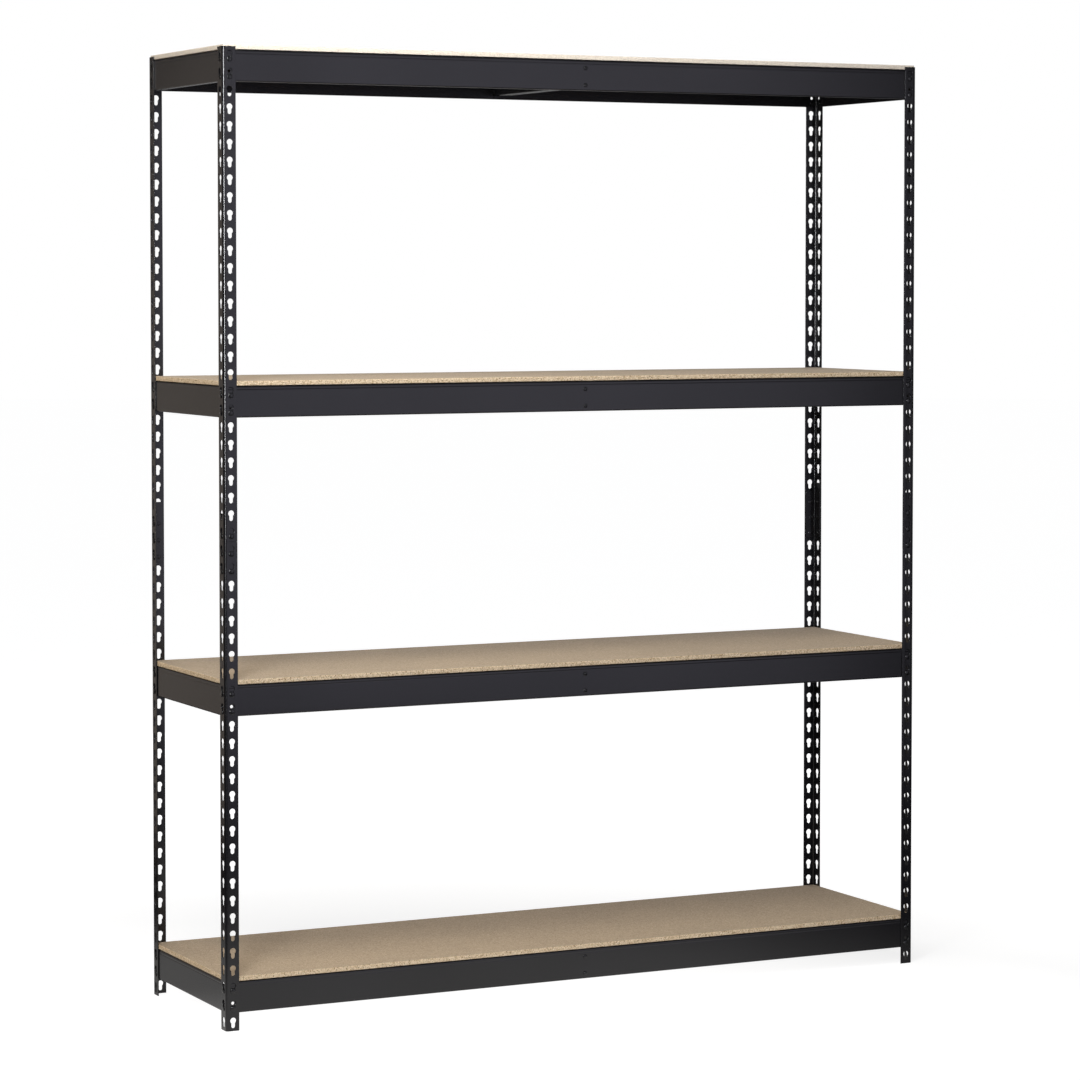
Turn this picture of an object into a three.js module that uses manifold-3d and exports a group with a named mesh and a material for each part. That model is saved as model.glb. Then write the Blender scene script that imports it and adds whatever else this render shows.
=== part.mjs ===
// Boltless steel shelving: four L-shaped posts, each in two halves joined by a riveted coupler,
// and four shelves. A shelf is four C-section beams whose rivets hook into the posts' keyholes,
// a centre support riveted between the front and back beams, and a particleboard deck on top.
//
// Units are millimetres. +X runs along the long side, +Y to the back, +Z up.
// The origin is the middle of the footprint, on the floor.

import * as THREE from 'three';
import { mergeVertices } from 'three/addons/utils/BufferGeometryUtils.js';
import Module from 'manifold-3d';

const wasm = await Module();
wasm.setup();

// ---- driving dimensions ----

const rackWidth = 1752.6;
const rackDepth = 457.2;
const touchGap = 0.3;

const keyholePitch = 38.1;
const keyholesPerHalf = 28;
const keyhole = { length: 23, headRadius: 6.8, slotRadius: 4.3, belowPostTop: 8.4, fromCorner: 16.3 };

const postHeight = 2 * keyholesPerHalf * keyholePitch;
const halfPostLength = (postHeight - touchGap) / 2;
const post = { flange: 30.5, thickness: 2 };

const coupler = {
  flange: 27,
  thickness: 2,
  bottom: 990,
  shortTop: 1107,
  tallTop: 1127,
  firstRow: 27,
  rows: 3,
};

const rivet = { neckRadius: 4, headRadius: 6.2, headThickness: 2 };

const beam = {
  height: 69,
  thickness: 1.8,
  topFlange: 24,
  bottomFlange: 12,
  aboveKeyhole: 2,
  endFromCorner: 6,
  pinHoleRadius: 3.6,
  rows: 2,
};

const support = {
  width: 26,
  depth: 61,
  thickness: 1.8,
  tabBottom: 66.5,
  upperRivet: 18.5,
  flangeClearance: 0.7,
  bottomFlangeSetback: 20,
};

const supportRivet = {
  shankRadius: 3,
  holeRadius: 3.5,
  headRadius: 4.8,
  headThickness: 1.8,
  tailRadius: 4.3,
  tailThickness: 1.2,
};

const deckThickness = 10;

// Keyhole row, counted down from the top of the post, that each shelf's upper rivets hang in.
const shelfRows = { shelf_4: 0, shelf_3: 19, shelf_2: 36, shelf_1: 53 };

// The four corners, each a quarter turn further round than the last.
const corners = ['front_left', 'front_right', 'back_right', 'back_left'];

// ---- derived places ----

const beamSetback = post.thickness + touchGap;
const rivetDrop = keyhole.length - keyhole.slotRadius;
const flangeCutback = beamSetback + beam.topFlange + support.flangeClearance;
const quarterTurn = Math.PI / 2;

function keyholeTop(row) {
  const halfTop = row < keyholesPerHalf ? postHeight : halfPostLength;
  return halfTop - keyhole.belowPostTop - (row % keyholesPerHalf) * keyholePitch;
}

function rivetHeight(row) {
  return keyholeTop(row) - rivetDrop;
}

// ---- materials ----

function blackPaint() {
  return new THREE.MeshStandardMaterial({ color: 0x2b2a2d, roughness: 0.45, metalness: 0.1 });
}

function zincPlate() {
  return new THREE.MeshStandardMaterial({ color: 0x3a393b, roughness: 0.4, metalness: 0.6 });
}

function particleboard() {
  return new THREE.MeshStandardMaterial({ color: 0xb39a78, roughness: 0.85, metalness: 0 });
}

// ---- solids ----

function solidFrom(geometry) {
  const bare = geometry.clone();
  bare.deleteAttribute('normal');
  bare.deleteAttribute('uv');
  const merged = mergeVertices(bare, 1e-4);
  const vertProperties = new Float32Array(merged.attributes.position.array);
  const triVerts = new Uint32Array(merged.index.array);
  return new wasm.Manifold(new wasm.Mesh({ numProp: 3, vertProperties, triVerts }));
}

function geometryFrom(solid) {
  const mesh = solid.getMesh();
  const geometry = new THREE.BufferGeometry();
  geometry.setAttribute('position', new THREE.BufferAttribute(mesh.vertProperties, 3));
  geometry.setIndex(new THREE.BufferAttribute(mesh.triVerts, 1));
  geometry.computeVertexNormals();
  return geometry;
}

function join(geometries) {
  return geometryFrom(geometries.map(solidFrom).reduce((whole, piece) => whole.add(piece)));
}

// A box between two corners.
function box(low, high) {
  const size = high.map((value, axis) => value - low[axis]);
  const centre = high.map((value, axis) => (value + low[axis]) / 2);
  return new THREE.BoxGeometry(...size).translate(...centre);
}

function polygon(path, points) {
  points.forEach(([u, v], index) => (index === 0 ? path.moveTo(u, v) : path.lineTo(u, v)));
  path.closePath();
  return path;
}

function hexagon(path, u, v, radius) {
  const corner = (index) => [
    u + radius * Math.cos((index * Math.PI) / 3),
    v + radius * Math.sin((index * Math.PI) / 3),
  ];
  return polygon(path, [0, 1, 2, 3, 4, 5].map(corner));
}

// The round head of a keyhole tapers into the slot that a rivet drops down.
function keyholePath(u, top) {
  const { length, headRadius, slotRadius } = keyhole;
  return polygon(new THREE.Path(), [
    [u - slotRadius, top - length],
    [u + slotRadius, top - length],
    [u + headRadius, top - headRadius],
    [u + headRadius / 2, top],
    [u - headRadius / 2, top],
    [u - headRadius, top - headRadius],
  ]);
}

// A sheet standing in the XZ plane, drawn as (x, z), from y = near to y = near + thickness.
function standingSheet(shape, near, thickness) {
  const sheet = new THREE.ExtrudeGeometry(shape, { depth: thickness, bevelEnabled: false });
  return sheet.rotateX(quarterTurn).translate(0, near + thickness, 0);
}

// The same sheet turned to stand in the YZ plane, drawn as (y, z), from x = near.
function crossSheet(shape, near, thickness) {
  return standingSheet(shape, 0, thickness).rotateZ(quarterTurn).translate(near + thickness, 0, 0);
}

// A six-sided pin along Y.
function pin(x, z, radius, fromY, toY) {
  return standingSheet(hexagon(new THREE.Shape(), x, z, radius), fromY, toY - fromY);
}

// A rivet staked in a sheet whose outer face is at y = face: its neck crosses the post's flange,
// and its head stands outside the flange.
function hookRivet(x, z, face) {
  const headInside = face - touchGap - post.thickness - touchGap;
  const headOutside = headInside - rivet.headThickness;
  const midHead = (headInside + headOutside) / 2;
  return [
    pin(x, z, rivet.neckRadius, midHead, face + beam.thickness / 2),
    pin(x, z, rivet.headRadius, headOutside, headInside),
  ];
}

// ---- sub-parts ----

// Half a post, with its outer corner on the Z axis and its flanges along +X and +Y.
function halfPostGeometry() {
  const flange = () => {
    const shape = polygon(new THREE.Shape(), [
      [0, 0],
      [post.flange, 0],
      [post.flange, halfPostLength],
      [0, halfPostLength],
    ]);
    for (let row = 0; row < keyholesPerHalf; row += 1) {
      const top = halfPostLength - keyhole.belowPostTop - row * keyholePitch;
      shape.holes.push(keyholePath(keyhole.fromCorner, top));
    }
    return shape;
  };
  return join([standingSheet(flange(), 0, post.thickness), crossSheet(flange(), 0, post.thickness)]);
}

// The angle inside a post that ties its halves together, with three rivets in each flange.
function couplerGeometry() {
  const near = beamSetback;
  const far = near + coupler.flange;
  const inside = near + coupler.thickness;
  const pieces = [
    box([near, near, coupler.bottom], [far, inside, coupler.shortTop]),
    box([near, near, coupler.bottom], [inside, far, coupler.tallTop]),
  ];
  for (let index = 0; index < coupler.rows; index += 1) {
    const height = rivetHeight(coupler.firstRow + index);
    const onFront = hookRivet(keyhole.fromCorner, height, near);
    const onSide = hookRivet(-keyhole.fromCorner, height, near).map((part) => part.rotateZ(-quarterTurn));
    pieces.push(...onFront, ...onSide);
  }
  return join(pieces);
}

// A C-section beam along X, with its outer face at y = 0 and its top at z = 0.
// The flanges stop short of the ends by the cutback, where the crossing beam's flanges pass.
function beamGeometry(span, cutback, holes) {
  const end = span / 2 - beam.endFromCorner;
  const flangeEnd = span / 2 - cutback;
  const rivetX = span / 2 - keyhole.fromCorner;
  const upperRivetZ = -beam.aboveKeyhole - rivetDrop;
  const pinHoleZ = -beam.aboveKeyhole - keyholePitch - keyhole.headRadius;

  const web = polygon(new THREE.Shape(), [
    [-end, -beam.height],
    [end, -beam.height],
    [end, 0],
    [-end, 0],
  ]);
  web.holes.push(hexagon(new THREE.Path(), -rivetX, pinHoleZ, beam.pinHoleRadius));
  web.holes.push(hexagon(new THREE.Path(), rivetX, pinHoleZ, beam.pinHoleRadius));
  web.holes.push(...holes);

  const pieces = [
    standingSheet(web, 0, beam.thickness),
    box([-flangeEnd, 0, -beam.thickness], [flangeEnd, beam.topFlange, 0]),
    box([-flangeEnd, 0, -beam.height], [flangeEnd, beam.bottomFlange, beam.thickness - beam.height]),
  ];
  for (let row = 0; row < beam.rows; row += 1) {
    const z = upperRivetZ - row * keyholePitch;
    pieces.push(...hookRivet(-rivetX, z, 0), ...hookRivet(rivetX, z, 0));
  }
  return join(pieces);
}

function supportRivetHeights() {
  return { upper: -support.upperRivet, lower: -support.upperRivet - keyholePitch };
}

function supportRivetHoles() {
  return Object.values(supportRivetHeights()).map((z) =>
    hexagon(new THREE.Path(), 0, z, supportRivet.holeRadius));
}

// The channel under the middle of a deck, with its top at z = 0 and its open side to +X.
// A tab at each end lies against the inside of the long beam's web.
function centerSupportGeometry() {
  const side = support.width / 2;
  const end = rackDepth / 2 - beamSetback - beam.thickness - touchGap;
  const underFlange = beam.thickness + touchGap;
  const flushEnd = rackDepth / 2 - flangeCutback;
  const lowerEnd = end - support.bottomFlangeSetback;

  const web = polygon(new THREE.Shape(), [
    [-end, -support.depth],
    [end, -support.depth],
    [end, -underFlange],
    [flushEnd, -underFlange],
    [flushEnd, 0],
    [-flushEnd, 0],
    [-flushEnd, -underFlange],
    [-end, -underFlange],
  ]);
  const tab = () => {
    const shape = polygon(new THREE.Shape(), [
      [-side, -support.tabBottom],
      [side, -support.tabBottom],
      [side, -underFlange],
      [-side, -underFlange],
    ]);
    shape.holes.push(...supportRivetHoles());
    return shape;
  };
  return join([
    crossSheet(web, -side, support.thickness),
    box([-side, -flushEnd, -support.thickness], [side, flushEnd, 0]),
    box([-side, -lowerEnd, -support.depth], [side, lowerEnd, support.thickness - support.depth]),
    standingSheet(tab(), -end, support.thickness),
    standingSheet(tab(), end - support.thickness, support.thickness),
  ]);
}

// The rivet through a long beam's web and the centre support's tab, with the web's outer face at y = 0.
function supportRivetGeometry() {
  const tailStart = beam.thickness + touchGap + support.thickness + touchGap;
  const tailEnd = tailStart + supportRivet.tailThickness;
  const headEnd = -touchGap - supportRivet.headThickness;
  return join([
    pin(0, 0, supportRivet.shankRadius, (headEnd - touchGap) / 2, (tailStart + tailEnd) / 2),
    pin(0, 0, supportRivet.headRadius, headEnd, -touchGap),
    pin(0, 0, supportRivet.tailRadius, tailStart, tailEnd),
  ]);
}

function deckGeometry() {
  const x = rackWidth / 2 - beamSetback;
  const y = rackDepth / 2 - beamSetback;
  return box([-x, -y, 0], [x, y, deckThickness]);
}

// ---- assembly ----

const halfPostShape = halfPostGeometry();
const couplerShape = couplerGeometry();
const longBeamShape = beamGeometry(rackWidth, beam.endFromCorner, supportRivetHoles());
const shortBeamShape = beamGeometry(rackDepth, flangeCutback, []);
const centerSupportShape = centerSupportGeometry();
const supportRivetShape = supportRivetGeometry();
const deckShape = deckGeometry();

function named(name, geometry, material) {
  const mesh = new THREE.Mesh(geometry, material);
  mesh.name = name;
  return mesh;
}

// Both halves of a post and their coupler, stood at one corner of the rack.
function cornerGroup(corner, index) {
  const group = new THREE.Group();
  const lower = named(`post_${corner}_lower`, halfPostShape, blackPaint());
  const upper = named(`post_${corner}_upper`, halfPostShape, blackPaint());
  upper.position.z = halfPostLength + touchGap;
  group.add(lower, upper, named(`coupler_${corner}`, couplerShape, zincPlate()));
  const x = corner.endsWith('left') ? -rackWidth / 2 : rackWidth / 2;
  const y = corner.startsWith('front') ? -rackDepth / 2 : rackDepth / 2;
  group.position.set(x, y, 0);
  group.rotation.z = index * quarterTurn;
  return group;
}

// One beam of a shelf, turned to face out of its own side of the rack.
function placedBeam(name, geometry, turns, fromCentre) {
  const holder = new THREE.Group();
  const mesh = named(name, geometry, blackPaint());
  mesh.position.y = -fromCentre;
  holder.rotation.z = turns * quarterTurn;
  holder.add(mesh);
  return holder;
}

// The two rivets that hold one end of the centre support, on the front or the back beam.
function supportRivets(shelf, side, turns) {
  const holder = new THREE.Group();
  for (const [place, z] of Object.entries(supportRivetHeights())) {
    const mesh = named(`${shelf}_rivet_${side}_${place}`, supportRivetShape, zincPlate());
    mesh.position.set(0, beamSetback - rackDepth / 2, z);
    holder.add(mesh);
  }
  holder.rotation.z = turns * quarterTurn;
  return holder;
}

function shelfGroup(shelf, row) {
  const group = new THREE.Group();
  const toFront = rackDepth / 2 - beamSetback;
  const toSide = rackWidth / 2 - beamSetback;
  group.add(
    placedBeam(`${shelf}_front_beam`, longBeamShape, 0, toFront),
    placedBeam(`${shelf}_right_beam`, shortBeamShape, 1, toSide),
    placedBeam(`${shelf}_back_beam`, longBeamShape, 2, toFront),
    placedBeam(`${shelf}_left_beam`, shortBeamShape, 3, toSide),
    named(`${shelf}_center_support`, centerSupportShape, blackPaint()),
    supportRivets(shelf, 'front', 0),
    supportRivets(shelf, 'back', 2),
  );
  const deck = named(`${shelf}_deck`, deckShape, particleboard());
  deck.position.z = touchGap;
  group.add(deck);
  group.position.z = keyholeTop(row) + beam.aboveKeyhole;
  return group;
}

const shelving = new THREE.Group();
corners.forEach((corner, index) => shelving.add(cornerGroup(corner, index)));
Object.entries(shelfRows).forEach(([shelf, row]) => shelving.add(shelfGroup(shelf, row)));

export default shelving;
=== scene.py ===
"""The looks of a boltless steel shelving rack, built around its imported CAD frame.

Every steel piece is cut as a flat sheet with its holes, rounded along its edges and folded,
as the real ones are. All lengths are in metres.
"""

import math

import bmesh
import bpy
from mathutils import Matrix, Quaternion, Vector, noise
from mathutils.geometry import delaunay_2d_cdt


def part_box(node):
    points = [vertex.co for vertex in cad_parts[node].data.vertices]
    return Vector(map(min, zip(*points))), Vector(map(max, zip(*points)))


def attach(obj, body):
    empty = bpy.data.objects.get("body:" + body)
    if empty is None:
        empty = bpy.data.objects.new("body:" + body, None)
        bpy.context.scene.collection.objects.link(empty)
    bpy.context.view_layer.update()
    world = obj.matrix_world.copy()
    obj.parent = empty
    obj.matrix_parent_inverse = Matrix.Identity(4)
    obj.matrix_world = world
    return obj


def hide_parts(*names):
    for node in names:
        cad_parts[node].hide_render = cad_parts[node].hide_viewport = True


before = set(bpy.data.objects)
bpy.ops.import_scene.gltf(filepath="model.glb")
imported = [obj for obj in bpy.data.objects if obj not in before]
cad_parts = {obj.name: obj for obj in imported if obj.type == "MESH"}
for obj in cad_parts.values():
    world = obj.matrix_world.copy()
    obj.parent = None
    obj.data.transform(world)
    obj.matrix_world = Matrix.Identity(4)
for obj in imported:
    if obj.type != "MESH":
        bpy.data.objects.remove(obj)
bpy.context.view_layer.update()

MM = 0.001
QUARTER = math.pi / 2

# ---- sizes, the same as the CAD model's ----

CORNERS = ("front_left", "front_right", "back_right", "back_left")
SHELVES = ("shelf_1", "shelf_2", "shelf_3", "shelf_4")

TOUCH_GAP = 0.3 * MM
KEYHOLE_PITCH = 38.1 * MM
KEYHOLES_PER_HALF = 28
KEYHOLE_LENGTH = 23 * MM
KEYHOLE_HEAD = 6.8 * MM
KEYHOLE_SLOT = 4.3 * MM
KEYHOLE_BELOW_TOP = 8.4 * MM
KEYHOLE_FROM_CORNER = 16.3 * MM
RIVET_DROP = KEYHOLE_LENGTH - KEYHOLE_SLOT

POST_FLANGE = 30.5 * MM
POST_SHEET = 2 * MM
POST_BEND = 4.7 * MM

COUPLER_FLANGE = 27 * MM
COUPLER_BEND = 2.8 * MM
COUPLER_FIRST_ROW = 27
COUPLER_ROWS = 3
COUPLER_STEP = 20 * MM
COUPLER_STEP_FROM_BEND = 1.5 * MM
COUPLER_CORNER_CUT = 3 * MM

BEAM_HEIGHT = 69 * MM
BEAM_SHEET = 1.8 * MM
BEAM_TOP_BEND = 4 * MM
BEAM_FOOT_BEND = 2 * MM
BEAM_GROOVE_RADIUS = 2 * MM
BEAM_GROOVE_TURN = math.radians(24)
BEAM_GROOVE_WIDTH = 4 * BEAM_GROOVE_RADIUS * math.sin(BEAM_GROOVE_TURN)
BEAM_GROOVE_FROM_TOP = 8.7 * MM
BEAM_TOP_FLANGE = 24 * MM
BEAM_BOTTOM_FLANGE = 12 * MM
BEAM_ABOVE_KEYHOLE = 2 * MM
BEAM_END_FROM_CORNER = 6 * MM
WEB_NOTCH = 1.5 * MM
PIN_HOLE = 3.5 * MM
BEAM_SETBACK = POST_SHEET + TOUCH_GAP

SUPPORT_WIDTH = 26 * MM
SUPPORT_DEPTH = 61 * MM
SUPPORT_BEND = 1.8 * MM
SUPPORT_TAB_START = 1 * MM
SUPPORT_TAB_BOTTOM = 66.5 * MM
SUPPORT_UPPER_RIVET = 18.5 * MM
SUPPORT_HOLE = 3.3 * MM
FLANGE_CLEARANCE = 0.7 * MM
FLANGE_CUTBACK = BEAM_SETBACK + BEAM_TOP_FLANGE + FLANGE_CLEARANCE

HOOK_HEAD = 6.2 * MM
HOOK_HEAD_THICK = 1.95 * MM
HOOK_NECK = 4 * MM
HOOK_TAIL = 5 * MM
HOOK_TAIL_THICK = 0.8 * MM
SUPPORT_HEAD = 4.8 * MM
SUPPORT_HEAD_THICK = 2.2 * MM
SUPPORT_NECK = 3 * MM
SUPPORT_TAIL = 4.3 * MM
SUPPORT_TAIL_THICK = 1.2 * MM

DECK_CORNER = 3.7 * MM
DECK_POINT_SPACING = 3 * MM
# how far back from the deck's side, and how far from its nearer face, each row of an arris lies
ARRIS_ROWS = ((0.9 * MM, 0.0), (0.35 * MM, 0.25 * MM), (0.08 * MM, 0.8 * MM))
ARRIS_CHIP = 1.5 * MM
# the same for the rows between the two arrises, all measured from the top
SAWN_ROWS = ((0.05 * MM, 3 * MM), (0.05 * MM, 5 * MM), (0.05 * MM, 7 * MM))
SAWN_CHIP = 0.5 * MM
CHIP_SPACING = 5 * MM
GRIT = 0.25 * MM

RIM = 0.35 * MM
RIM_STEPS = 2
BEND_STEP = math.radians(13)
ARC_STEP = math.radians(15)
SAME_POINT = 1e-6

# centre, stretch along X, inner and outer radius, and brightness of each pool of light
BOUNCE_POOLS = (
    ((-0.3, -0.5), 0.8, 0.55, 1.2, 0.88),
    ((-1.05, 0.4), 1.0, 0.25, 0.85, 0.40),
    ((1.8, 1.5), 1.0, 1.0, 2.2, 0.35),
)


# ---- bent sheet metal ----

class Profile:
    """The cross-section of a bent sheet, followed along the middle of its thickness.

    steps holds ("flat", length) and ("bend", turn, radius). A positive turn is to the left.
    """

    def __init__(self, start, heading, steps):
        self.pieces = []
        self.columns = []
        self.flat_spans = []
        here, along = Vector(start), 0.0
        for step in steps:
            if step[0] == "flat":
                length, turn = step[1], 0.0
                self.flat_spans.append((along, along + length))
            else:
                turn = step[1]
                length = abs(turn) * step[2]
                count = max(2, round(abs(turn) / BEND_STEP))
                self.columns += [along + length * i / count for i in range(count + 1)]
            self.pieces.append((along, along + length, here.copy(), heading, turn))
            here, heading = self._advance(here, heading, turn, length)
            along += length
        self.length = along

    @staticmethod
    def _advance(here, heading, turn, length):
        if turn == 0.0:
            return here + length * Vector((math.cos(heading), math.sin(heading))), heading
        radius = length / turn
        after = heading + turn
        shift = Vector((math.sin(after) - math.sin(heading), math.cos(heading) - math.cos(after)))
        return here + radius * shift, after

    def at(self, u):
        """The point at u along the section, and the direction to its right."""
        piece = next((p for p in self.pieces if u <= p[1]), self.pieces[-1])
        low, high, here, heading, turn = piece
        part = 0.0 if turn == 0.0 else turn * (u - low) / (high - low)
        point, after = self._advance(here, heading, part, u - low)
        return point, Vector((math.sin(after), -math.cos(after)))


def arc(centre, radius, start, end):
    """Points round an arc, from one angle to the other."""
    count = max(2, round(abs(end - start) / ARC_STEP))
    angles = [start + (end - start) * i / count for i in range(count + 1)]
    return [(centre[0] + radius * math.cos(a), centre[1] + radius * math.sin(a)) for a in angles]


def round_hole(u, v, radius):
    """A round hole, drawn clockwise."""
    return arc((u, v), radius, 0, -2 * math.pi)[:-1]


def keyhole(u, top):
    """A keyhole, drawn clockwise: a round head that narrows into a round-ended slot."""
    head = (u, top - KEYHOLE_HEAD)
    slot = (u, top - RIVET_DROP)
    neck = math.acos(KEYHOLE_SLOT / KEYHOLE_HEAD)
    return arc(head, KEYHOLE_HEAD, math.pi + neck, -neck) + arc(slot, KEYHOLE_SLOT, 0, -math.pi)


def across_columns(loop, columns):
    """The loop with a point added wherever one of its edges crosses a bend column."""
    out = []
    for (u0, v0), (u1, v1) in zip(loop, loop[1:] + loop[:1]):
        out.append((u0, v0))
        between = [c for c in columns if min(u0, u1) < c < max(u0, u1)]
        for c in sorted(between, reverse=u1 < u0):
            out.append((c, v0 + (v1 - v0) * (c - u0) / (u1 - u0)))
    return out


def inset(loop, distance):
    """The loop moved to its left, which is into the sheet, by the distance."""
    out = []
    for i, (u, v) in enumerate(loop):
        before = Vector((u, v)) - Vector(loop[i - 1])
        after = Vector(loop[(i + 1) % len(loop)]) - Vector((u, v))
        n1 = Vector((-before.y, before.x)).normalized()
        n2 = Vector((-after.y, after.x)).normalized()
        move = (n1 + n2) / max(1 + n1.dot(n2), 0.2) * distance
        out.append((u + move.x, v + move.y))
    return out


def goes_round(loop, u, v):
    """Whether a loop goes round a point."""
    crossings = 0
    for (u0, v0), (u1, v1) in zip(loop, loop[1:] + loop[:1]):
        if (v0 > v) != (v1 > v) and u < u0 + (u1 - u0) * (v - v0) / (v1 - v0):
            crossings += 1
    return crossings % 2 == 1


def in_sheet(loops, u, v):
    """Whether a point is inside the first loop and outside the others, which are its holes."""
    near = [loop for loop in loops[1:] if min(p[1] for p in loop) < v < max(p[1] for p in loop)]
    return goes_round(loops[0], u, v) and not any(goes_round(loop, u, v) for loop in near)


def column_edges(points, columns):
    """Pairs of points that a bend column joins."""
    edges = []
    for c in columns:
        on = [i for i, (u, _) in enumerate(points) if abs(u - c) < 1e-7]
        on.sort(key=lambda i: points[i][1])
        edges += list(zip(on[::2], on[1::2]))
    return edges


def rim_rows(half):
    """A sheet's rounded edge from its right face to its left one, as (inset, lift) pairs."""
    rows = []
    for i in range(RIM_STEPS + 1):
        angle = QUARTER * i / RIM_STEPS
        rows.append((RIM * (1 - math.sin(angle)), half - RIM * (1 - math.cos(angle))))
    return rows + [(distance, -lift) for distance, lift in reversed(rows)]


def sheet_triangles(loops, columns):
    """The points and triangles that fill the first loop, apart from the others."""
    edges = column_edges(loops[0], columns)
    start = 0
    for loop in loops:
        count = len(loop)
        edges += [(start + i, start + (i + 1) % count) for i in range(count)]
        start += count
    corners = [Vector(p) for loop in loops for p in loop]
    points, _, triangles = delaunay_2d_cdt(corners, edges, [], 1, 1e-9)[:3]
    centres = [sum((points[i] for i in triangle), Vector((0, 0))) / 3 for triangle in triangles]
    kept = [triangle for triangle, c in zip(triangles, centres) if in_sheet(loops, c.x, c.y)]
    return points, kept


def join_rings(bm, upper, lower, material_index=0):
    """Adds the faces between two closed rings that have as many vertices as each other."""
    for i in range(len(upper)):
        face = bm.faces.new((upper[i - 1], upper[i], lower[i], lower[i - 1]))
        face.material_index = material_index


def folded_sheet(profile, thickness, outline, holes, place):
    """A bmesh of one bent sheet. outline runs anticlockwise and holes clockwise, in (along the
    section, along the bend). place turns (section x, section y, along the bend) into a point."""
    loops = [across_columns(outline, profile.columns)] + holes
    half = thickness / 2
    bm = bmesh.new()

    def vertex(u, v, lift):
        point, right = profile.at(u)
        spot = point + right * lift
        return bm.verts.new(place(spot.x, spot.y, v))

    rim = rim_rows(half)
    for loop in loops:
        rows = [[vertex(u, v, lift) for u, v in inset(loop, distance)] for distance, lift in rim]
        for upper, lower in zip(rows, rows[1:]):
            join_rings(bm, upper, lower)
    points, triangles = sheet_triangles([inset(loop, RIM) for loop in loops], profile.columns)
    for lift in (half, -half):
        verts = [vertex(u, v, lift) for u, v in points]
        for triangle in triangles:
            bm.faces.new([verts[i] for i in triangle])
    bmesh.ops.remove_doubles(bm, verts=bm.verts, dist=SAME_POINT)
    bmesh.ops.recalc_face_normals(bm, faces=bm.faces)
    return bm


def turned(points, steps, origin, axis, side):
    """A bmesh turned from a half-profile of (radius, height) points about axis through origin."""
    bm = bmesh.new()
    other = axis.cross(side)
    rings = []
    for radius, height in points:
        if radius == 0:
            rings.append([bm.verts.new(origin + axis * height)])
            continue
        ring = []
        for i in range(steps):
            angle = 2 * math.pi * i / steps
            out = side * math.cos(angle) + other * math.sin(angle)
            ring.append(bm.verts.new(origin + axis * height + out * radius))
        rings.append(ring)
    for first, second in zip(rings, rings[1:]):
        for i in range(steps):
            a, b = first[(i - 1) % len(first)], first[i % len(first)]
            c, d = second[i % len(second)], second[(i - 1) % len(second)]
            corners = [a, b, c, d]
            bm.faces.new([p for n, p in enumerate(corners) if p not in corners[:n]])
    bmesh.ops.recalc_face_normals(bm, faces=bm.faces)
    return bm


# ---- materials ----

class Nodes:
    """The node tree of a material or a world, with short calls to add and link nodes."""

    def __init__(self, owner):
        owner.use_nodes = True
        self.tree = owner.node_tree

    def add(self, kind, **settings):
        node = self.tree.nodes.new(kind)
        for key, value in settings.items():
            if key in node.inputs:
                node.inputs[key].default_value = value
            else:
                setattr(node, key, value)
        return node

    def link(self, source, target):
        self.tree.links.new(source, target)

    def spread(self, value, low, high, from_low=0.3, from_high=0.7):
        node = self.add("ShaderNodeMapRange")
        node.inputs["From Min"].default_value = from_low
        node.inputs["From Max"].default_value = from_high
        node.inputs["To Min"].default_value = low
        node.inputs["To Max"].default_value = high
        self.link(value, node.inputs["Value"])
        return node.outputs["Result"]

    def ramp(self, value, stops):
        node = self.add("ShaderNodeValToRGB")
        elements = node.color_ramp.elements
        while len(elements) < len(stops):
            elements.new(0.5)
        for element, (position, color) in zip(elements, stops):
            element.position = position
            element.color = (*color, 1)
        self.link(value, node.inputs["Fac"])
        return node.outputs["Color"]

    def mix(self, factor, first, second, blend="MIX"):
        node = self.add("ShaderNodeMix", data_type="RGBA", blend_type=blend)
        sockets = (node.inputs["Factor"], node.inputs[6], node.inputs[7])
        for value, socket in zip((factor, first, second), sockets):
            if isinstance(value, (int, float)):
                socket.default_value = value
            elif isinstance(value, tuple):
                socket.default_value = (*value, 1)
            else:
                self.link(value, socket)
        return node.outputs[2]


class Surface(Nodes):
    """The nodes of a new material, whose textures are placed in the object's own space."""

    def __init__(self, name):
        self.material = bpy.data.materials.new(name)
        super().__init__(self.material)
        self.shader = self.tree.nodes["Principled BSDF"]
        self.place = self.add("ShaderNodeTexCoord").outputs["Object"]

    def noise(self, scale, detail=2.0, roughness=0.5):
        node = self.add("ShaderNodeTexNoise")
        node.inputs["Scale"].default_value = scale
        node.inputs["Detail"].default_value = detail
        node.inputs["Roughness"].default_value = roughness
        self.link(self.place, node.inputs["Vector"])
        return node.outputs["Fac"]

    def bump(self, height, strength, distance):
        node = self.add("ShaderNodeBump")
        node.inputs["Strength"].default_value = strength
        node.inputs["Distance"].default_value = distance
        self.link(height, node.inputs["Height"])
        return node.outputs["Normal"]

    def distance_from(self, centre, stretch=1.0):
        """How far each point is from a centre, with X stretched."""
        offset = self.add("ShaderNodeVectorMath", operation="SUBTRACT")
        offset.inputs[1].default_value = centre
        self.link(self.place, offset.inputs[0])
        scaled = self.add("ShaderNodeVectorMath", operation="MULTIPLY")
        scaled.inputs[1].default_value = (stretch, 1, 1)
        self.link(offset.outputs["Vector"], scaled.inputs[0])
        reach = self.add("ShaderNodeVectorMath", operation="LENGTH")
        self.link(scaled.outputs["Vector"], reach.inputs[0])
        return reach.outputs["Value"]


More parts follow.
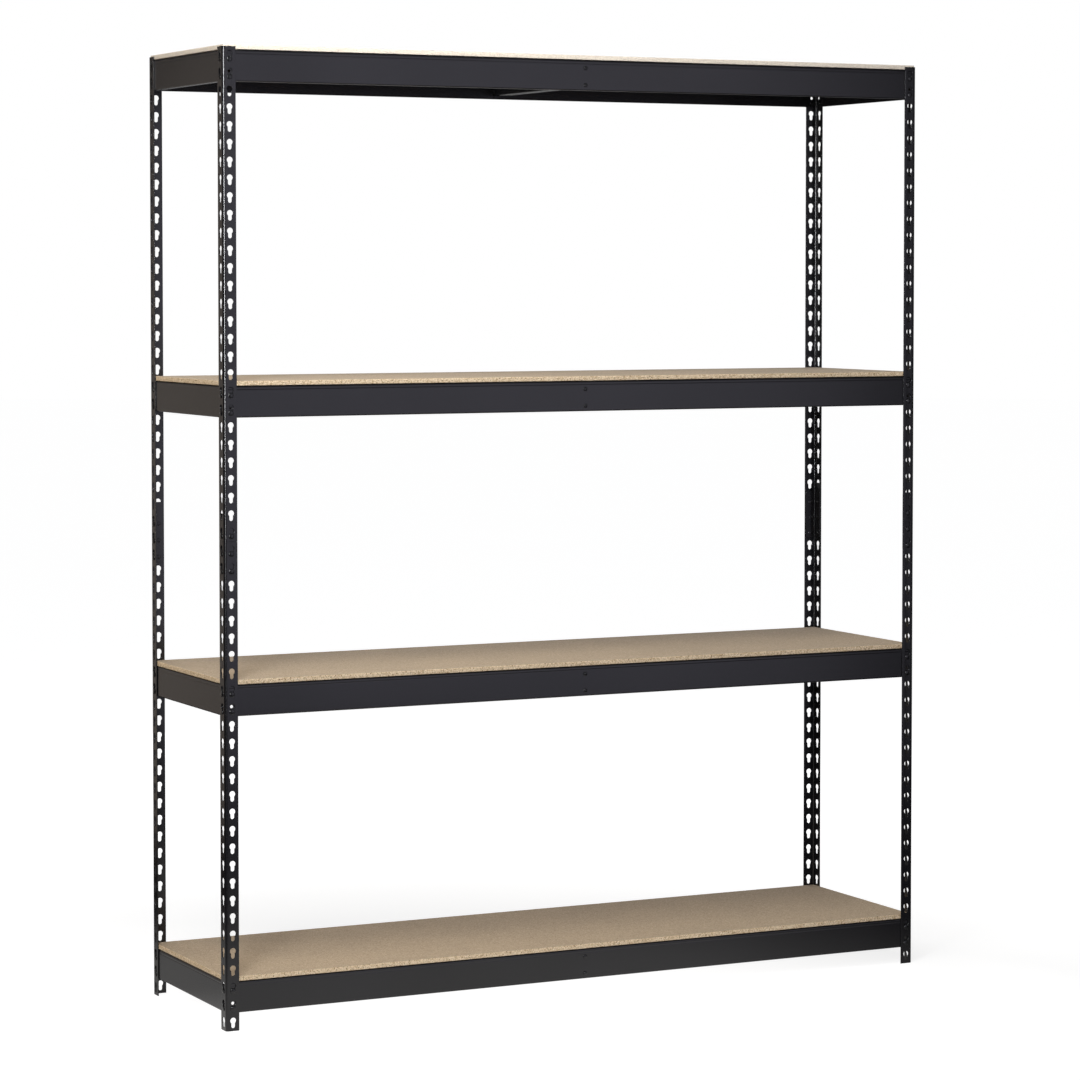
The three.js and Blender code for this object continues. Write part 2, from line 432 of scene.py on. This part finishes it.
def powder_coat(name, color, roughness):
    """Black powder coat: fine orange peel, faint mottling and pale dust in the surface."""
    n = Surface(name)
    cloud = n.noise(3.5, 3.0)
    speck = n.noise(900, 1.0)
    deep, pale, dust = (tuple(c * level for c in color) for level in (0.8, 1.35, 1.6))
    tone = n.mix(n.spread(cloud, 0, 1), deep, pale)
    dusty = n.mix(n.spread(speck, 0, 0.5, 0.6, 0.75), tone, dust)
    n.link(dusty, n.shader.inputs["Base Color"])
    uneven = n.spread(n.noise(420, 2.0), roughness - 0.025, roughness + 0.035)
    n.link(uneven, n.shader.inputs["Roughness"])
    peel = n.bump(n.noise(750, 2.0), 0.05, 0.03 * MM)
    n.link(peel, n.shader.inputs["Normal"])
    return n.material


def chips(n, size, stretch):
    """Random wood chips: a colour value for each, and their outline distance."""
    warp = n.add("ShaderNodeTexNoise")
    warp.inputs["Scale"].default_value = 0.35 / size
    n.link(n.place, warp.inputs["Vector"])
    shift = n.add("ShaderNodeVectorMath", operation="MULTIPLY_ADD")
    shift.inputs[1].default_value = (size * stretch,) * 3
    n.link(warp.outputs["Color"], shift.inputs[0])
    n.link(n.place, shift.inputs[2])
    cells = n.add("ShaderNodeTexVoronoi")
    cells.inputs["Scale"].default_value = 1 / size
    cells.inputs["Randomness"].default_value = 1.0
    n.link(shift.outputs[0], cells.inputs["Vector"])
    pick = n.add("ShaderNodeSeparateColor")
    n.link(cells.outputs["Color"], pick.inputs["Color"])
    return pick.outputs["Red"], cells.outputs["Distance"]


def board_face():
    """The sanded face of particleboard: fine tan chips, brown flecks and slow mottling."""
    n = Surface("particleboard_face")
    coarse, _ = chips(n, 2.6 * MM, 2.5)
    fine, edge = chips(n, 1.1 * MM, 2.0)
    blend = n.mix(0.5, coarse, fine)
    tan = n.ramp(blend, [(0.0, (0.229, 0.150, 0.078)), (0.35, (0.393, 0.288, 0.176)),
                         (0.7, (0.465, 0.355, 0.227)), (1.0, (0.647, 0.530, 0.366))])
    fleck = n.spread(n.noise(520, 1.0), 0, 0.75, 0.66, 0.76)
    flecked = n.mix(fleck, tan, (0.200, 0.120, 0.060))
    slow = n.ramp(n.noise(7, 3.0), [(0.3, (0.92, 0.92, 0.92)), (0.7, (1.0, 1.0, 1.0))])
    n.link(n.mix(1.0, flecked, slow, "MULTIPLY"), n.shader.inputs["Base Color"])
    n.link(n.spread(n.noise(300, 1.0), 0.62, 0.78), n.shader.inputs["Roughness"])
    n.link(n.bump(edge, 0.25, 0.08 * MM), n.shader.inputs["Normal"])
    n.shader.inputs["Specular IOR Level"].default_value = 0.35
    n.shader.inputs["Sheen Weight"].default_value = 0.12
    return n.material


def board_edge():
    """The sawn edge: paler, with coarse chips and dark gaps. The top board's edge is painted paler
    still, a painted highlight for the stronger light that falls on it.
    """
    n = Surface("particleboard_edge")
    coarse, gap = chips(n, 2.3 * MM, 2.0)
    fine, _ = chips(n, 1.0 * MM, 2.0)
    blend = n.mix(0.4, coarse, fine)
    cream = n.ramp(blend, [(0.0, (0.270, 0.165, 0.085)), (0.25, (0.490, 0.365, 0.220)),
                           (0.6, (0.660, 0.530, 0.355)), (1.0, (0.780, 0.670, 0.500))])
    pit = n.spread(n.noise(300, 2.0, 0.6), 0, 0.9, 0.58, 0.66)
    pitted = n.mix(pit, cream, (0.140, 0.072, 0.030))
    height = n.add("ShaderNodeSeparateXYZ")
    n.link(n.place, height.inputs["Vector"])
    # painted highlight: above 1.8 m, on the top board only, the edge colour is mixed towards a pale
    # grey as if more brightly lit
    paler = n.mix(0.6, pitted, (0.62, 0.60, 0.55))
    painted_top_light = n.spread(height.outputs["Z"], 0, 1, 1.8, 2.0)
    n.link(n.mix(painted_top_light, pitted, paler), n.shader.inputs["Base Color"])
    n.shader.inputs["Roughness"].default_value = 0.85
    n.link(n.bump(gap, 0.6, 0.3 * MM), n.shader.inputs["Normal"])
    n.shader.inputs["Specular IOR Level"].default_value = 0.25
    return n.material


def floor_paper():
    """A pale matt studio floor, lit from behind so that only a soft contact shadow shows."""
    n = Surface("floor_paper")
    tone = n.ramp(n.noise(0.6, 2.0), [(0.3, (0.28, 0.28, 0.28)), (0.7, (0.31, 0.31, 0.31))])
    n.link(tone, n.shader.inputs["Base Color"])
    n.shader.inputs["Roughness"].default_value = 0.9
    n.shader.inputs["Specular IOR Level"].default_value = 0.1
    glow = n.spread(n.distance_from((0, 0, 0)), 0.78, 0.97, 0.9, 2.5)
    n.shader.inputs["Emission Color"].default_value = (1, 1, 1, 1)
    n.link(glow, n.shader.inputs["Emission Strength"])
    return n.material


def bounce_paper():
    """The floor as it shows in the steel: dark, with soft pools of light round the rack."""
    n = Surface("bounce_paper")
    total = None
    for centre, stretch, inner, outer, level in BOUNCE_POOLS:
        pool = n.spread(n.distance_from((*centre, 0), stretch), level, 0, inner, outer)
        if total is None:
            total = pool
            continue
        lighter = n.add("ShaderNodeMath", operation="MAXIMUM")
        n.link(total, lighter.inputs[0])
        n.link(pool, lighter.inputs[1])
        total = lighter.outputs["Value"]
    n.link(total, n.shader.inputs["Emission Strength"])
    n.shader.inputs["Emission Color"].default_value = (1, 0.98, 0.96, 1)
    n.shader.inputs["Base Color"].default_value = (0.02, 0.02, 0.02, 1)
    n.shader.inputs["Specular IOR Level"].default_value = 0.0
    return n.material


STEEL = powder_coat("charcoal_powder_coat", (0.0056, 0.0054, 0.0064), 0.22)
RIVET_STEEL = powder_coat("black_rivet", (0.0050, 0.0050, 0.0054), 0.25)
BOARD_FACE = board_face()
BOARD_EDGE = board_edge()


# ---- making pieces ----

def smooth_piece(name, bm, materials, slot, body, *nodes):
    """Makes an object from a bmesh, with clean normals, that stands for the CAD nodes."""
    mesh = bpy.data.meshes.new(name)
    bm.to_mesh(mesh)
    bm.free()
    for material in materials:
        mesh.materials.append(material)
    mesh.polygons.foreach_set("use_smooth", [True] * len(mesh.polygons))
    piece = bpy.data.objects.new(name, mesh)
    bpy.context.scene.collection.objects.link(piece)
    weighted = piece.modifiers.new("weighted_normals", "WEIGHTED_NORMAL")
    weighted.keep_sharp = True
    weighted.weight = 100
    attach(piece, body)
    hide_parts(*nodes)


def merge(target, added, material_index=0):
    """Adds one bmesh to another, with its faces in the given material slot."""
    for face in added.faces:
        face.material_index = material_index
    mesh = bpy.data.meshes.new("part")
    added.to_mesh(mesh)
    added.free()
    target.from_mesh(mesh)
    bpy.data.meshes.remove(mesh)


def moved(bm, matrix):
    """A copy of a bmesh, moved by the matrix."""
    copy = bm.copy()
    bmesh.ops.transform(copy, matrix=matrix, verts=copy.verts)
    return copy


def mirrored(bm, matrix):
    """A copy of a bmesh, moved by a matrix that mirrors it, with its faces still outwards."""
    copy = moved(bm, matrix)
    bmesh.ops.reverse_faces(copy, faces=copy.faces)
    return copy


def post_profile(flange, bend, sheet):
    """An L seen from above, from the tip of its +Y flange round the corner to its +X flange.
    Returns the section, and how far along it the bend starts and ends."""
    flat = flange - bend - sheet / 2
    steps = [("flat", flat), ("bend", QUARTER, bend), ("flat", flat)]
    return Profile((sheet / 2, flange), -QUARTER, steps), flat, flat + QUARTER * bend


def rivet_head(radius, thick, neck, neck_length, tail, tail_thick):
    """Half-profile of a rivet with a low domed head, from the head's crown to the tail's."""
    crown = 0.44 * thick
    points = [(0, thick), (radius * 0.5, thick - crown * 0.25), (radius * 0.8, thick - crown * 0.68)]
    points += [(radius * 0.95, thick - crown * 1.15), (radius, thick - crown * 1.9)]
    points += [(radius, 0.12 * thick), (radius * 0.97, 0), (neck, 0), (neck, -neck_length)]
    points += [(tail, -neck_length), (tail * 0.97, -neck_length - tail_thick * 0.6)]
    points += [(tail * 0.75, -neck_length - tail_thick), (0, -neck_length - tail_thick)]
    return points


def hook_rivet(x, z, face, sheet):
    """A rivet staked in a sheet whose outer face is at y = face, with its head outside a post."""
    under = face - TOUCH_GAP - POST_SHEET - TOUCH_GAP
    grip = face - under + sheet
    points = rivet_head(HOOK_HEAD, HOOK_HEAD_THICK, HOOK_NECK, grip, HOOK_TAIL, HOOK_TAIL_THICK)
    return turned(points, 24, Vector((x, under, z)), Vector((0, -1, 0)), Vector((1, 0, 0)))


def half_post():
    """A half post with its corner on the Z axis and its foot at z = 0."""
    low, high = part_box("post_front_left_lower")
    length = high.z - low.z
    profile, bend_start, bend_end = post_profile(POST_FLANGE, POST_BEND, POST_SHEET)
    to_hole = KEYHOLE_FROM_CORNER - POST_BEND - POST_SHEET / 2
    holes = []
    for row in range(KEYHOLES_PER_HALF):
        top = length - KEYHOLE_BELOW_TOP - row * KEYHOLE_PITCH
        holes.append(keyhole(bend_start - to_hole, top))
        holes.append(keyhole(bend_end + to_hole, top))
    outline = [(0, 0), (profile.length, 0), (profile.length, length), (0, length)]
    return folded_sheet(profile, POST_SHEET, outline, holes, lambda p, q, v: Vector((p, q, v)))


def keyhole_top(row):
    """The height of the top of a keyhole, counted down from the top of the post."""
    half = "upper" if row < KEYHOLES_PER_HALF else "lower"
    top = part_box(f"post_front_left_{half}")[1].z
    return top - KEYHOLE_BELOW_TOP - (row % KEYHOLES_PER_HALF) * KEYHOLE_PITCH


def coupler():
    """The riveted angle inside a post's seam, with its taller flange along +Y."""
    low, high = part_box("coupler_front_left")
    short_top = high.z - COUPLER_STEP
    profile, _, bend_end = post_profile(COUPLER_FLANGE, COUPLER_BEND, POST_SHEET)
    step = bend_end + COUPLER_STEP_FROM_BEND
    cut = COUPLER_CORNER_CUT
    outline = [(cut, low.z), (profile.length - cut, low.z), (profile.length, low.z + cut)]
    outline += [(profile.length, short_top - cut), (profile.length - cut, short_top)]
    outline += [(step, short_top), (step, high.z), (cut, high.z), (0, high.z - cut), (0, low.z + cut)]

    def inside_post(p, q, v):
        return Vector((p + BEAM_SETBACK, q + BEAM_SETBACK, v))

    bm = folded_sheet(profile, POST_SHEET, outline, [], inside_post)
    swap_x_and_y = Matrix(((0, 1, 0, 0), (1, 0, 0, 0), (0, 0, 1, 0), (0, 0, 0, 1)))
    for row in range(COUPLER_FIRST_ROW, COUPLER_FIRST_ROW + COUPLER_ROWS):
        height = keyhole_top(row) - RIVET_DROP
        rivet = hook_rivet(KEYHOLE_FROM_CORNER, height, BEAM_SETBACK, POST_SHEET)
        other = mirrored(rivet, swap_x_and_y)
        merge(bm, rivet, 1)
        merge(bm, other, 1)
    return bm


def channel_outline(profile, web, end, flange_end):
    """The flat pattern of a channel: its web runs to the ends, and its flanges may stop short."""
    lip = profile.length
    if flange_end == end:
        return [(0, -end), (lip, -end), (lip, end), (0, end)]
    low, high = web[0] + WEB_NOTCH, web[1] - WEB_NOTCH
    outline = [(0, -flange_end), (low, -flange_end), (low, -end), (high, -end), (high, -flange_end)]
    outline += [(lip, -flange_end), (lip, flange_end), (high, flange_end), (high, end), (low, end)]
    return outline + [(low, flange_end), (0, flange_end)]


def support_rivet_heights():
    """How high the two rivets of a centre support are, from the top of the long beams."""
    return (-SUPPORT_UPPER_RIVET, -SUPPORT_UPPER_RIVET - KEYHOLE_PITCH)


def beam_profile():
    """A C-section that opens to +Y, with a shallow rolled groove along the top of its web.
    Returns the section, the span of its web, and where z = 0 would be along that web."""
    top_corner = BEAM_TOP_BEND + BEAM_SHEET / 2
    foot_corner = BEAM_FOOT_BEND + BEAM_SHEET / 2
    to_groove = BEAM_GROOVE_FROM_TOP - BEAM_GROOVE_WIDTH / 2
    slope = ("bend", -BEAM_GROOVE_TURN, BEAM_GROOVE_RADIUS)
    steps = [("flat", BEAM_BOTTOM_FLANGE - foot_corner), ("bend", -QUARTER, BEAM_FOOT_BEND)]
    steps += [("flat", BEAM_HEIGHT - foot_corner - to_groove - BEAM_GROOVE_WIDTH)]
    steps += [slope, ("bend", 2 * BEAM_GROOVE_TURN, BEAM_GROOVE_RADIUS), slope]
    steps += [("flat", to_groove - top_corner), ("bend", -QUARTER, BEAM_TOP_BEND)]
    steps += [("flat", BEAM_TOP_FLANGE - top_corner)]
    profile = Profile((BEAM_BOTTOM_FLANGE, BEAM_SHEET / 2 - BEAM_HEIGHT), math.pi, steps)
    web = (profile.flat_spans[1][0], profile.flat_spans[2][1])
    level = profile.flat_spans[1][1] + to_groove + BEAM_GROOVE_WIDTH
    return profile, web, level


def beam(span, cutback, middle_holes):
    """A beam along X with its outer face at y = 0, its top at z = 0 and its flanges to +Y."""
    profile, web, level = beam_profile()
    rivet_x = span / 2 - KEYHOLE_FROM_CORNER
    upper = -BEAM_ABOVE_KEYHOLE - RIVET_DROP
    pin = level - BEAM_ABOVE_KEYHOLE - KEYHOLE_PITCH - KEYHOLE_HEAD
    holes = [round_hole(pin, -rivet_x, PIN_HOLE), round_hole(pin, rivet_x, PIN_HOLE)]
    if middle_holes:
        holes += [round_hole(level + z, 0, SUPPORT_HOLE) for z in support_rivet_heights()]
    outline = channel_outline(profile, web, span / 2 - BEAM_END_FROM_CORNER, span / 2 - cutback)
    bm = folded_sheet(profile, BEAM_SHEET, outline, holes, lambda p, q, v: Vector((v, p, q)))
    for side in (-1, 1):
        for row in (0, 1):
            merge(bm, hook_rivet(side * rivet_x, upper - row * KEYHOLE_PITCH, 0, BEAM_SHEET), 1)
    return bm


def support_tab(web_end):
    """The end of a centre support's web, bent to lie across it against a long beam."""
    side = SUPPORT_WIDTH / 2
    corner = SUPPORT_BEND + BEAM_SHEET / 2
    steps = [("flat", SUPPORT_TAB_START), ("bend", -QUARTER, SUPPORT_BEND)]
    steps += [("flat", SUPPORT_WIDTH - corner)]
    profile = Profile((BEAM_SHEET / 2 - side, web_end), QUARTER, steps)
    middle = profile.flat_spans[1][0] + side - corner
    holes = [round_hole(middle, z, SUPPORT_HOLE) for z in support_rivet_heights()]
    top, bottom = -BEAM_SHEET - TOUCH_GAP, -SUPPORT_TAB_BOTTOM
    outline = [(0, bottom), (profile.length, bottom), (profile.length, top), (0, top)]
    return folded_sheet(profile, BEAM_SHEET, outline, holes, lambda p, q, v: Vector((p, q, v)))


def center_support(depth):
    """The channel under the middle of a deck, open to +X, with a riveted tab at each end."""
    corner = SUPPORT_BEND + BEAM_SHEET / 2
    flange, bend = ("flat", SUPPORT_WIDTH - corner), ("bend", -QUARTER, SUPPORT_BEND)
    steps = [flange, bend, ("flat", SUPPORT_DEPTH - 2 * corner), bend, flange]
    profile = Profile((SUPPORT_WIDTH / 2, BEAM_SHEET / 2 - SUPPORT_DEPTH), math.pi, steps)
    tab_face = depth / 2 - BEAM_SETBACK - BEAM_SHEET - TOUCH_GAP
    web_end = tab_face - corner - SUPPORT_TAB_START
    outline = channel_outline(profile, profile.flat_spans[1], web_end, depth / 2 - FLANGE_CUTBACK)
    bm = folded_sheet(profile, BEAM_SHEET, outline, [], lambda p, q, v: Vector((p, v, q)))
    tab = support_tab(web_end)
    other = mirrored(tab, Matrix.Diagonal((1, -1, 1, 1)))
    merge(bm, tab)
    merge(bm, other)
    return bm


def support_rivet(z):
    """The rivet through a long beam's web and the support's tab, for a web face at y = 0."""
    grip = TOUCH_GAP + BEAM_SHEET + TOUCH_GAP + BEAM_SHEET + TOUCH_GAP
    points = rivet_head(SUPPORT_HEAD, SUPPORT_HEAD_THICK, SUPPORT_NECK, grip,
                        SUPPORT_TAIL, SUPPORT_TAIL_THICK)
    return turned(points, 20, Vector((0, -TOUCH_GAP, z)), Vector((0, -1, 0)), Vector((1, 0, 0)))


def board_outline(low, high):
    """A rectangle with rounded corners, as closely spaced points that run anticlockwise."""
    corners = [(high.x, low.y), (high.x, high.y), (low.x, high.y), (low.x, low.y)]
    inward = [(-1, 1), (-1, -1), (1, -1), (1, 1)]
    bends = []
    for i, ((x, y), (in_x, in_y)) in enumerate(zip(corners, inward)):
        centre = (x + in_x * DECK_CORNER, y + in_y * DECK_CORNER)
        bends.append(arc(centre, DECK_CORNER, (i - 1) * QUARTER, i * QUARTER))
    outline = []
    for bend, following in zip(bends, bends[1:] + bends[:1]):
        start, end = Vector(bend[-1]), Vector(following[0])
        count = round((end - start).length / DECK_POINT_SPACING)
        outline += bend + [tuple(start.lerp(end, k / count)) for k in range(1, count)]
    return outline


def chipped_ring(bm, loop, z, chip_depth):
    """Vertices round a board at one height, roughened and chipped inwards from the loop."""
    ring = []
    for i, (u, v) in enumerate(loop):
        along = Vector((u, v)) - Vector(loop[i - 1])
        inward = Vector((-along.y, along.x)).normalized()
        seed = Vector((u, v, z)) / CHIP_SPACING
        chip = max(0.0, noise.noise(seed) - 0.05) * chip_depth
        depth = chip + abs(noise.noise(seed * 3.1)) * GRIT
        ring.append(bm.verts.new((u + inward.x * depth, v + inward.y * depth, z)))
    return ring


def deck(name):
    """A particleboard deck with sawn edges that are chipped a little along both arrises."""
    low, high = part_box(name)
    outline = board_outline(low, high)
    rows = [(back, high.z - down, ARRIS_CHIP) for back, down in ARRIS_ROWS]
    rows += [(back, high.z - down, SAWN_CHIP) for back, down in SAWN_ROWS]
    rows += [(back, low.z + up, ARRIS_CHIP) for back, up in reversed(ARRIS_ROWS)]
    bm = bmesh.new()
    rings = [chipped_ring(bm, inset(outline, back), z, chip) for back, z, chip in rows]
    for upper, lower in zip(rings, rings[1:]):
        join_rings(bm, upper, lower, 1)
    bm.faces.new(rings[0])
    bm.faces.new(rings[-1])
    bmesh.ops.recalc_face_normals(bm, faces=bm.faces)
    return bm


# ---- assembly ----

def post_corner(corner):
    """The outer corner of a post, on the floor."""
    low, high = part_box(f"post_{corner}_lower")
    x = low.x if corner.endswith("left") else high.x
    y = low.y if corner.startswith("front") else high.y
    return Vector((x, y, low.z))


def build_posts():
    """Two halves and a splice at each corner, turned so that each opens inwards."""
    half, joint = half_post(), coupler()
    upper_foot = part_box("post_front_left_upper")[0].z
    for turns, corner in enumerate(CORNERS):
        stand = Matrix.Translation(post_corner(corner)) @ Matrix.Rotation(turns * QUARTER, 4, "Z")
        raised = Matrix.Translation((0, 0, upper_foot)) @ stand
        smooth_piece(f"lower_post_{corner}", moved(half, stand), [STEEL],
                     "black_steel", "uprights", f"post_{corner}_lower")
        smooth_piece(f"upper_post_{corner}", moved(half, raised), [STEEL],
                     "black_steel", "uprights", f"post_{corner}_upper")
        smooth_piece(f"splice_{corner}", moved(joint, stand), [STEEL, RIVET_STEEL],
                     "black_steel", "uprights", f"coupler_{corner}")


def build_shelf(shelf, long_beam, short_beam, middle, rivets, width, depth):
    """Four beams, a centre support with its four rivets, and a board."""
    board_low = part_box(f"{shelf}_deck")[0].z
    lift = Matrix.Translation((0, 0, board_low - TOUCH_GAP))
    to_front, to_side = depth / 2 - BEAM_SETBACK, width / 2 - BEAM_SETBACK
    sides = (("front", 0, long_beam, to_front), ("right", 1, short_beam, to_side),
             ("back", 2, long_beam, to_front), ("left", 3, short_beam, to_side))
    for side, turns, shape, distance in sides:
        spot = lift @ Matrix.Rotation(turns * QUARTER, 4, "Z") @ Matrix.Translation((0, -distance, 0))
        smooth_piece(f"{side}_beam_{shelf}", moved(shape, spot), [STEEL, RIVET_STEEL],
                     "black_steel", shelf, f"{shelf}_{side}_beam")
        if shape is long_beam:
            for place, rivet in rivets.items():
                smooth_piece(f"support_rivet_{side}_{place}_{shelf}", moved(rivet, spot),
                             [RIVET_STEEL], "rivet_steel", shelf, f"{shelf}_rivet_{side}_{place}")
    smooth_piece(f"center_support_{shelf}", moved(middle, lift), [STEEL],
                 "black_steel", shelf, f"{shelf}_center_support")
    smooth_piece(f"board_{shelf}", deck(f"{shelf}_deck"), [BOARD_FACE, BOARD_EDGE],
                 "particleboard", shelf.replace("shelf", "deck"), f"{shelf}_deck")


def build_shelves():
    """The four shelves. Their steel pieces are cut once and copied to each."""
    near, far = post_corner("front_left"), post_corner("back_right")
    width, depth = far.x - near.x, far.y - near.y
    long_beam = beam(width, BEAM_END_FROM_CORNER, True)
    short_beam = beam(depth, FLANGE_CUTBACK, False)
    middle = center_support(depth)
    rivets = dict(zip(("upper", "lower"), map(support_rivet, support_rivet_heights())))
    for shelf in SHELVES:
        build_shelf(shelf, long_beam, short_beam, middle, rivets, width, depth)


# ---- studio ----

def stage_disc(name, radius, material):
    """A disc on the ground that is part of the studio, not of the rack."""
    bm = bmesh.new()
    bmesh.ops.create_circle(bm, cap_ends=True, radius=radius, segments=96)
    mesh = bpy.data.meshes.new(name)
    bm.to_mesh(mesh)
    bm.free()
    mesh.materials.append(material)
    disc = bpy.data.objects.new(name, mesh)
    bpy.context.scene.collection.objects.link(disc)
    return disc


def build_floor():
    """The floor that is seen, and a dimmer one that bounces light up and shows in the gloss."""
    seen = stage_disc("floor", 40, floor_paper())
    seen.visible_diffuse = False
    seen.visible_glossy = False
    bounce = stage_disc("floor_bounce", 4, bounce_paper())
    bounce.visible_camera = False
    bounce.visible_shadow = False


def world_glow(n, direction, towards, low, high):
    """Light from the world that rises from low to high as the direction nears towards."""
    facing = n.add("ShaderNodeVectorMath", operation="DOT_PRODUCT")
    facing.inputs[1].default_value = Vector(towards).normalized()
    n.link(direction, facing.inputs[0])
    return n.spread(facing.outputs["Value"], low, high, 0.1, 0.75)


def build_world():
    """White behind the rack. As light it is a dim dome, a little brighter from two sides."""
    world = bpy.data.worlds.new("studio")
    bpy.context.scene.world = world
    n = Nodes(world)
    direction = n.add("ShaderNodeTexCoord").outputs["Generated"]
    both = n.add("ShaderNodeMath", operation="ADD")
    n.link(world_glow(n, direction, (-0.35, -0.75, 0.55), 0.02, 0.06), both.inputs[0])
    n.link(world_glow(n, direction, (0.85, 0.45, 0.25), 0.0, 0.10), both.inputs[1])
    lit = n.tree.nodes["Background"]
    lit.inputs["Color"].default_value = (0.93, 0.94, 1.0, 1)
    n.link(both.outputs["Value"], lit.inputs["Strength"])
    seen = n.add("ShaderNodeBackground", Color=(1, 1, 1, 1), Strength=1.0)
    mix = n.add("ShaderNodeMixShader")
    n.link(n.add("ShaderNodeLightPath").outputs["Is Camera Ray"], mix.inputs[0])
    n.link(lit.outputs[0], mix.inputs[1])
    n.link(seen.outputs[0], mix.inputs[2])
    n.link(mix.outputs[0], n.tree.nodes["World Output"].inputs["Surface"])


def softbox(name, spot, target, size, power, color, hidden_from=None, roll=0.0):
    """An area light aimed at a target, and turned by roll about the line to it. hidden_from
    may be "glossy" or "diffuse", the kind of ray that doesn't meet it."""
    data = bpy.data.lights.new(name, "AREA")
    data.shape = "RECTANGLE"
    data.size, data.size_y = size
    data.energy = power
    data.color = color
    light = bpy.data.objects.new(name, data)
    light.location = spot
    aim = (Vector(target) - Vector(spot)).to_track_quat("-Z", "Y")
    light.rotation_euler = (aim @ Quaternion((0, 0, 1), roll)).to_euler()
    light.visible_camera = False
    if hidden_from:
        setattr(light, f"visible_{hidden_from}", False)
    bpy.context.scene.collection.objects.link(light)


def build_lights():
    """The steel is nearly black and shows what it mirrors, so its gloss has lights of its own."""
    cool, neutral, warm = (0.96, 0.97, 1.0), (1.0, 0.99, 0.97), (1.0, 0.86, 0.74)
    blue = (0.86, 0.84, 1.0)
    rack = (0, 0, 1.1)
    softbox("key_front_left", (-2.7, -3.0, 2.3), rack, (0.9, 1.8), 74, cool, "glossy")
    softbox("strip_front_left", (-2.7, -3.0, 2.15), rack, (0.35, 2.2), 215, cool, "diffuse")
    softbox("front_right", (1.62, -4.2, 1.35), (1.62, 0, 1.35), (3.1, 3.7), 33.5, blue)
    softbox("side_left", (-2.9, 0.9, 1.4), (-0.9, 0, 1.1), (1.0, 2.4), 20, warm, "glossy")
    softbox("back_left", (-1.80, 2.29, 1.0), (-0.9, 0, 1.0), (1.1, 3.6), 4.2, warm,
            roll=math.radians(-19))
    softbox("back_fill", (-1.2, 4.2, 2.2), rack, (2.4, 1.6), 95, neutral, "glossy")
    softbox("back_low", (0.55, 4.6, 0.45), (0.55, 0, 0.45), (4.3, 1.7), 11.4, neutral)
    softbox("side_right", (4.6, 0.6, 0.9), (0.9, 0, 0.9), (3.2, 2.6), 14, neutral, "diffuse")
    softbox("overhead", (-0.85, -1.3, 3.1), (-0.3, 0, 1.2), (2.0, 1.4), 58, neutral, "glossy")


def build_camera():
    """A long lens from the front left, a little above the middle of the rack."""
    data = bpy.data.cameras.new("camera")
    data.sensor_width = 36
    data.lens = 117.85
    data.shift_y = -0.0926
    camera = bpy.data.objects.new("camera", data)
    camera.location = (-3.6454, -7.3525, 1.6376)
    camera.rotation_euler = (math.radians(90 - 2.636), 0, math.radians(-26.356))
    bpy.context.scene.collection.objects.link(camera)
    bpy.context.scene.camera = camera


build_camera()
build_posts()
build_shelves()
build_floor()
build_world()
build_lights()
bpy.context.scene.view_settings.view_transform = "Standard"
